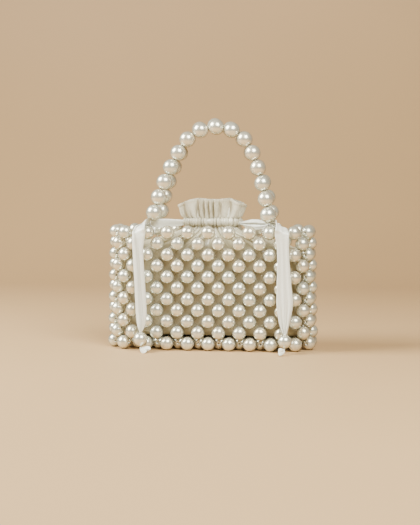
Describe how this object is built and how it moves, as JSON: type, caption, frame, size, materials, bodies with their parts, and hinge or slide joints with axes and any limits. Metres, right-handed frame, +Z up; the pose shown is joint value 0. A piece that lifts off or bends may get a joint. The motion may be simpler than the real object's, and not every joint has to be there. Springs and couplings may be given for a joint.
{
  "type": "evening bag",
  "caption": "Evening bag: a woven cage of faux pearls with two strung pearl handles, a satin drawstring pouch and two hanging ribbons.",
  "frame": {"origin": "on the standing surface, under the middle of the cage", "axes": "+Z up, the front with the hanging ribbons faces -Y, +X to the right seen from the front"},
  "size_m": [0.1862, 0.0786, 0.2011],
  "materials": {
    "pearl": "pearlescent lacquer, ivory white",
    "handle_pearl": "pearlescent lacquer, ivory white",
    "weave_line": "clear monofilament",
    "handle_wire": "fine strung wire, satin",
    "pouch_satin": "white satin",
    "pouch_lining": "matte lining",
    "ribbon_satin": "white satin ribbon"
  },
  "bodies": {
    "cage": {"front_level_pearls": "pearl", "front_upright_pearls": "pearl", "rear_level_pearls": "pearl", "rear_upright_pearls": "pearl", "left_end_level_pearls": "pearl", "left_end_upright_pearls": "pearl", "right_end_level_pearls": "pearl", "right_end_upright_pearls": "pearl", "base_long_pearls": "pearl", "base_cross_pearls": "pearl", "level_weave_lines": "weave_line", "upright_weave_lines": "weave_line", "base_weave_lines": "weave_line", "pouch_front": "pouch_satin", "pouch_rear": "pouch_satin", "pouch_front_shoulder": "pouch_satin", "pouch_rear_shoulder": "pouch_satin", "pouch_frill": "pouch_satin", "drawstring_casing": "pouch_satin", "pouch_bottom": "pouch_lining", "left_drawstring": "ribbon_satin", "right_drawstring": "ribbon_satin"},
    "front_handle": {"front_handle_pearls": "handle_pearl", "front_handle_wire": "handle_wire", "front_handle_crimps": "handle_wire"},
    "rear_handle": {"rear_handle_pearls": "handle_pearl", "rear_handle_wire": "handle_wire", "rear_handle_crimps": "handle_wire"},
    "left_tail": {"left_ribbon_tail": "ribbon_satin", "left_tail_pearl": "pearl", "left_tail_knot": "ribbon_satin"},
    "right_tail": {"right_ribbon_tail": "ribbon_satin", "right_tail_pearl": "pearl", "right_tail_knot": "ribbon_satin"}
  },
  "joints": [
    {"name": "front_handle_fall", "type": "hinge", "parent": "cage", "child": "front_handle", "pos_m": [0, -0.02673, 0.102], "axis": [1, 0, 0], "range_deg": [0, 100]},
    {"name": "rear_handle_fall", "type": "hinge", "parent": "cage", "child": "rear_handle", "pos_m": [0, 0.02673, 0.102], "axis": [-1, 0, 0], "range_deg": [0, 100]},
    {"name": "left_tail_swing", "type": "hinge", "parent": "cage", "child": "left_tail", "pos_m": [-0.0597, -0.03443, 0.1033], "axis": [-1, 0, 0], "range_deg": [0, 60]},
    {"name": "right_tail_swing", "type": "hinge", "parent": "cage", "child": "right_tail", "pos_m": [0.064, -0.03443, 0.1033], "axis": [-1, 0, 0], "range_deg": [0, 60]}
  ]
}
